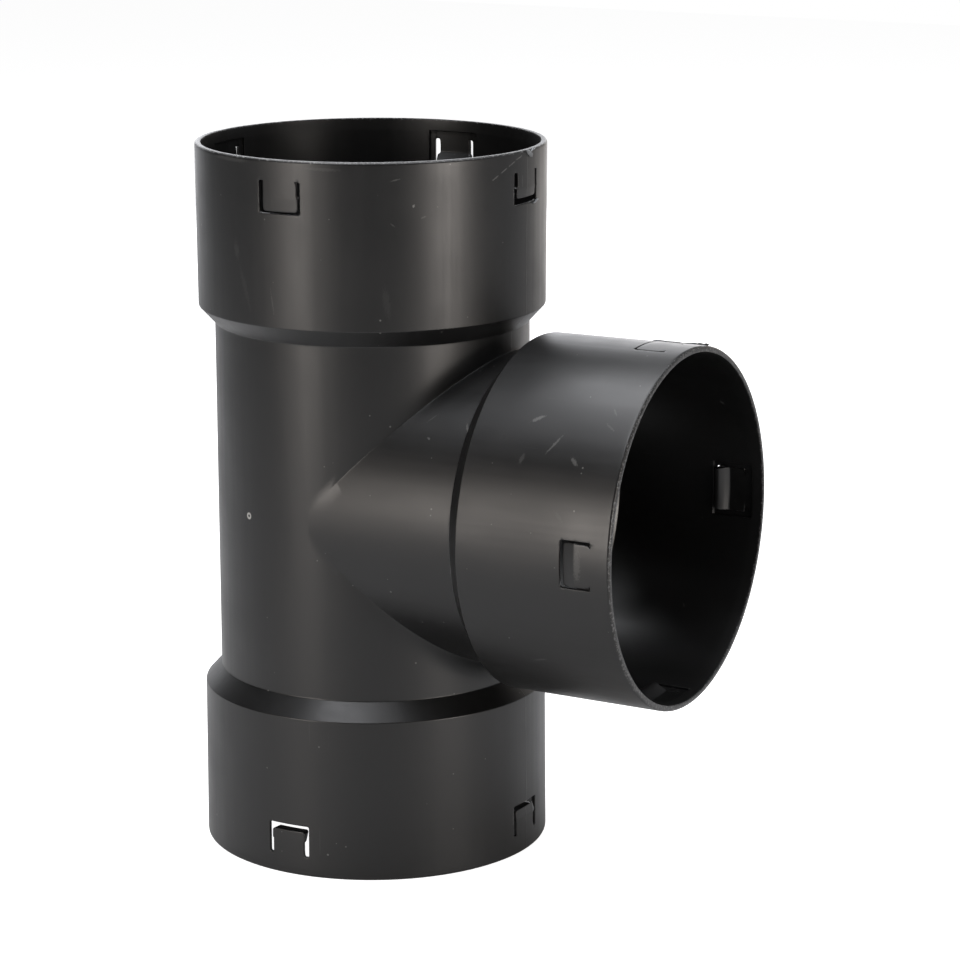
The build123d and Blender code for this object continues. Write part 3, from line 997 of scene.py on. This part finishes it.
def soft_box(name, colour, bearing, height, distance, width, tall, power):
    """An area lamp aimed at the tee. Bearing is in degrees from the camera, clockwise as seen from above."""
    light = bpy.data.lights.new(name, "AREA")
    light.shape = "RECTANGLE"
    light.size = width
    light.size_y = tall
    light.energy = power
    light.color = colour
    lamp = bpy.data.objects.new(name, light)
    bpy.context.collection.objects.link(lamp)
    a = math.radians(CAMERA_BEARING + bearing)
    lamp.location = (distance * math.sin(a), -distance * math.cos(a), height)
    aim = LAMP_AIM - lamp.location
    lamp.rotation_euler = aim.to_track_quat("-Z", "Y").to_euler()
    lamp.visible_camera = False
    return lamp


# Name, colour, bearing in degrees, height, distance, width and height of the box in metres, watts
soft_box("left_box", WARM, -45, 0.3, 1.3, 0.26, 0.66, 8.2)
soft_box("right_box", WARM, 50, 0.35, 1.3, 0.6, 0.42, 3.1)
soft_box("right_low_box", WARM, 50, 0.12, 1.3, 0.3, 0.24, 4.3)
soft_box("ceiling_wide", COOL, 90, 1.4, 0.24, 1.2, 1.2, 17.5)
soft_box("ceiling_middle", COOL, -44, 1.39, 0.55, 0.35, 0.35, 6.0)
soft_box("ceiling_left", COOL, -138, 1.3, 0.6, 0.6, 0.6, 7.0)
soft_box("panel_behind", COOL, 180, 0.5, 1.4, 1.0, 1.0, 7.2)
soft_box("panel_behind_left", COOL, -155, 0.4, 1.2, 0.8, 0.8, 2.2)
soft_box("panel_right", COOL, 105, 0.6, 1.3, 0.9, 0.9, 1.5)
soft_box("panel_behind_right", WARM, 150, 0.25, 1.0, 0.8, 0.5, 1.2)

# %% [markdown]
# The camera stands where the photograph was taken from: its place, direction, roll and lens
# were worked out from the outlines of the sockets and the saddle. Its distance and where it aims,
# right of and above the tee's middle, are in mm.

# %% Camera
CAMERA_ELEVATION = math.radians(13.28)
CAMERA_ROLL = math.radians(-0.112)
CAMERA_DISTANCE = 1204.58
AIM_RIGHT, AIM_UP = 38.375, 3.235
FOCAL_PIXELS, PICTURE_PIXELS, SENSOR = 3318.8, 960, 36.0


def photo_camera():
    """Camera with its axes built from bearing and elevation, then rolled about its line of sight."""
    bearing, flat = math.radians(CAMERA_BEARING), math.cos(CAMERA_ELEVATION)
    back = Vector((math.sin(bearing) * flat, -math.cos(bearing) * flat, math.sin(CAMERA_ELEVATION)))
    right = Vector((math.cos(bearing), math.sin(bearing), 0))
    up = back.cross(right)
    target = Vector((0, 0, BRANCH_HEIGHT)) + right * AIM_RIGHT + up * AIM_UP
    place = (target + back * CAMERA_DISTANCE) * MM
    rolled_right = right * math.cos(CAMERA_ROLL) + up * math.sin(CAMERA_ROLL)
    rolled_up = up * math.cos(CAMERA_ROLL) - right * math.sin(CAMERA_ROLL)
    data = bpy.data.cameras.new("photo_camera")
    data.sensor_width = SENSOR
    data.lens = FOCAL_PIXELS / PICTURE_PIXELS * SENSOR
    data.clip_start = 0.05
    camera = bpy.data.objects.new("photo_camera", data)
    bpy.context.collection.objects.link(camera)
    turn = Matrix((rolled_right, rolled_up, back)).transposed().to_4x4()
    camera.matrix_world = Matrix.Translation(place) @ turn
    bpy.context.scene.camera = camera
    print("camera at", [round(v, 4) for v in place], "lens", round(data.lens, 2), "mm")


photo_camera()
bpy.context.scene.view_settings.view_transform = "Standard"
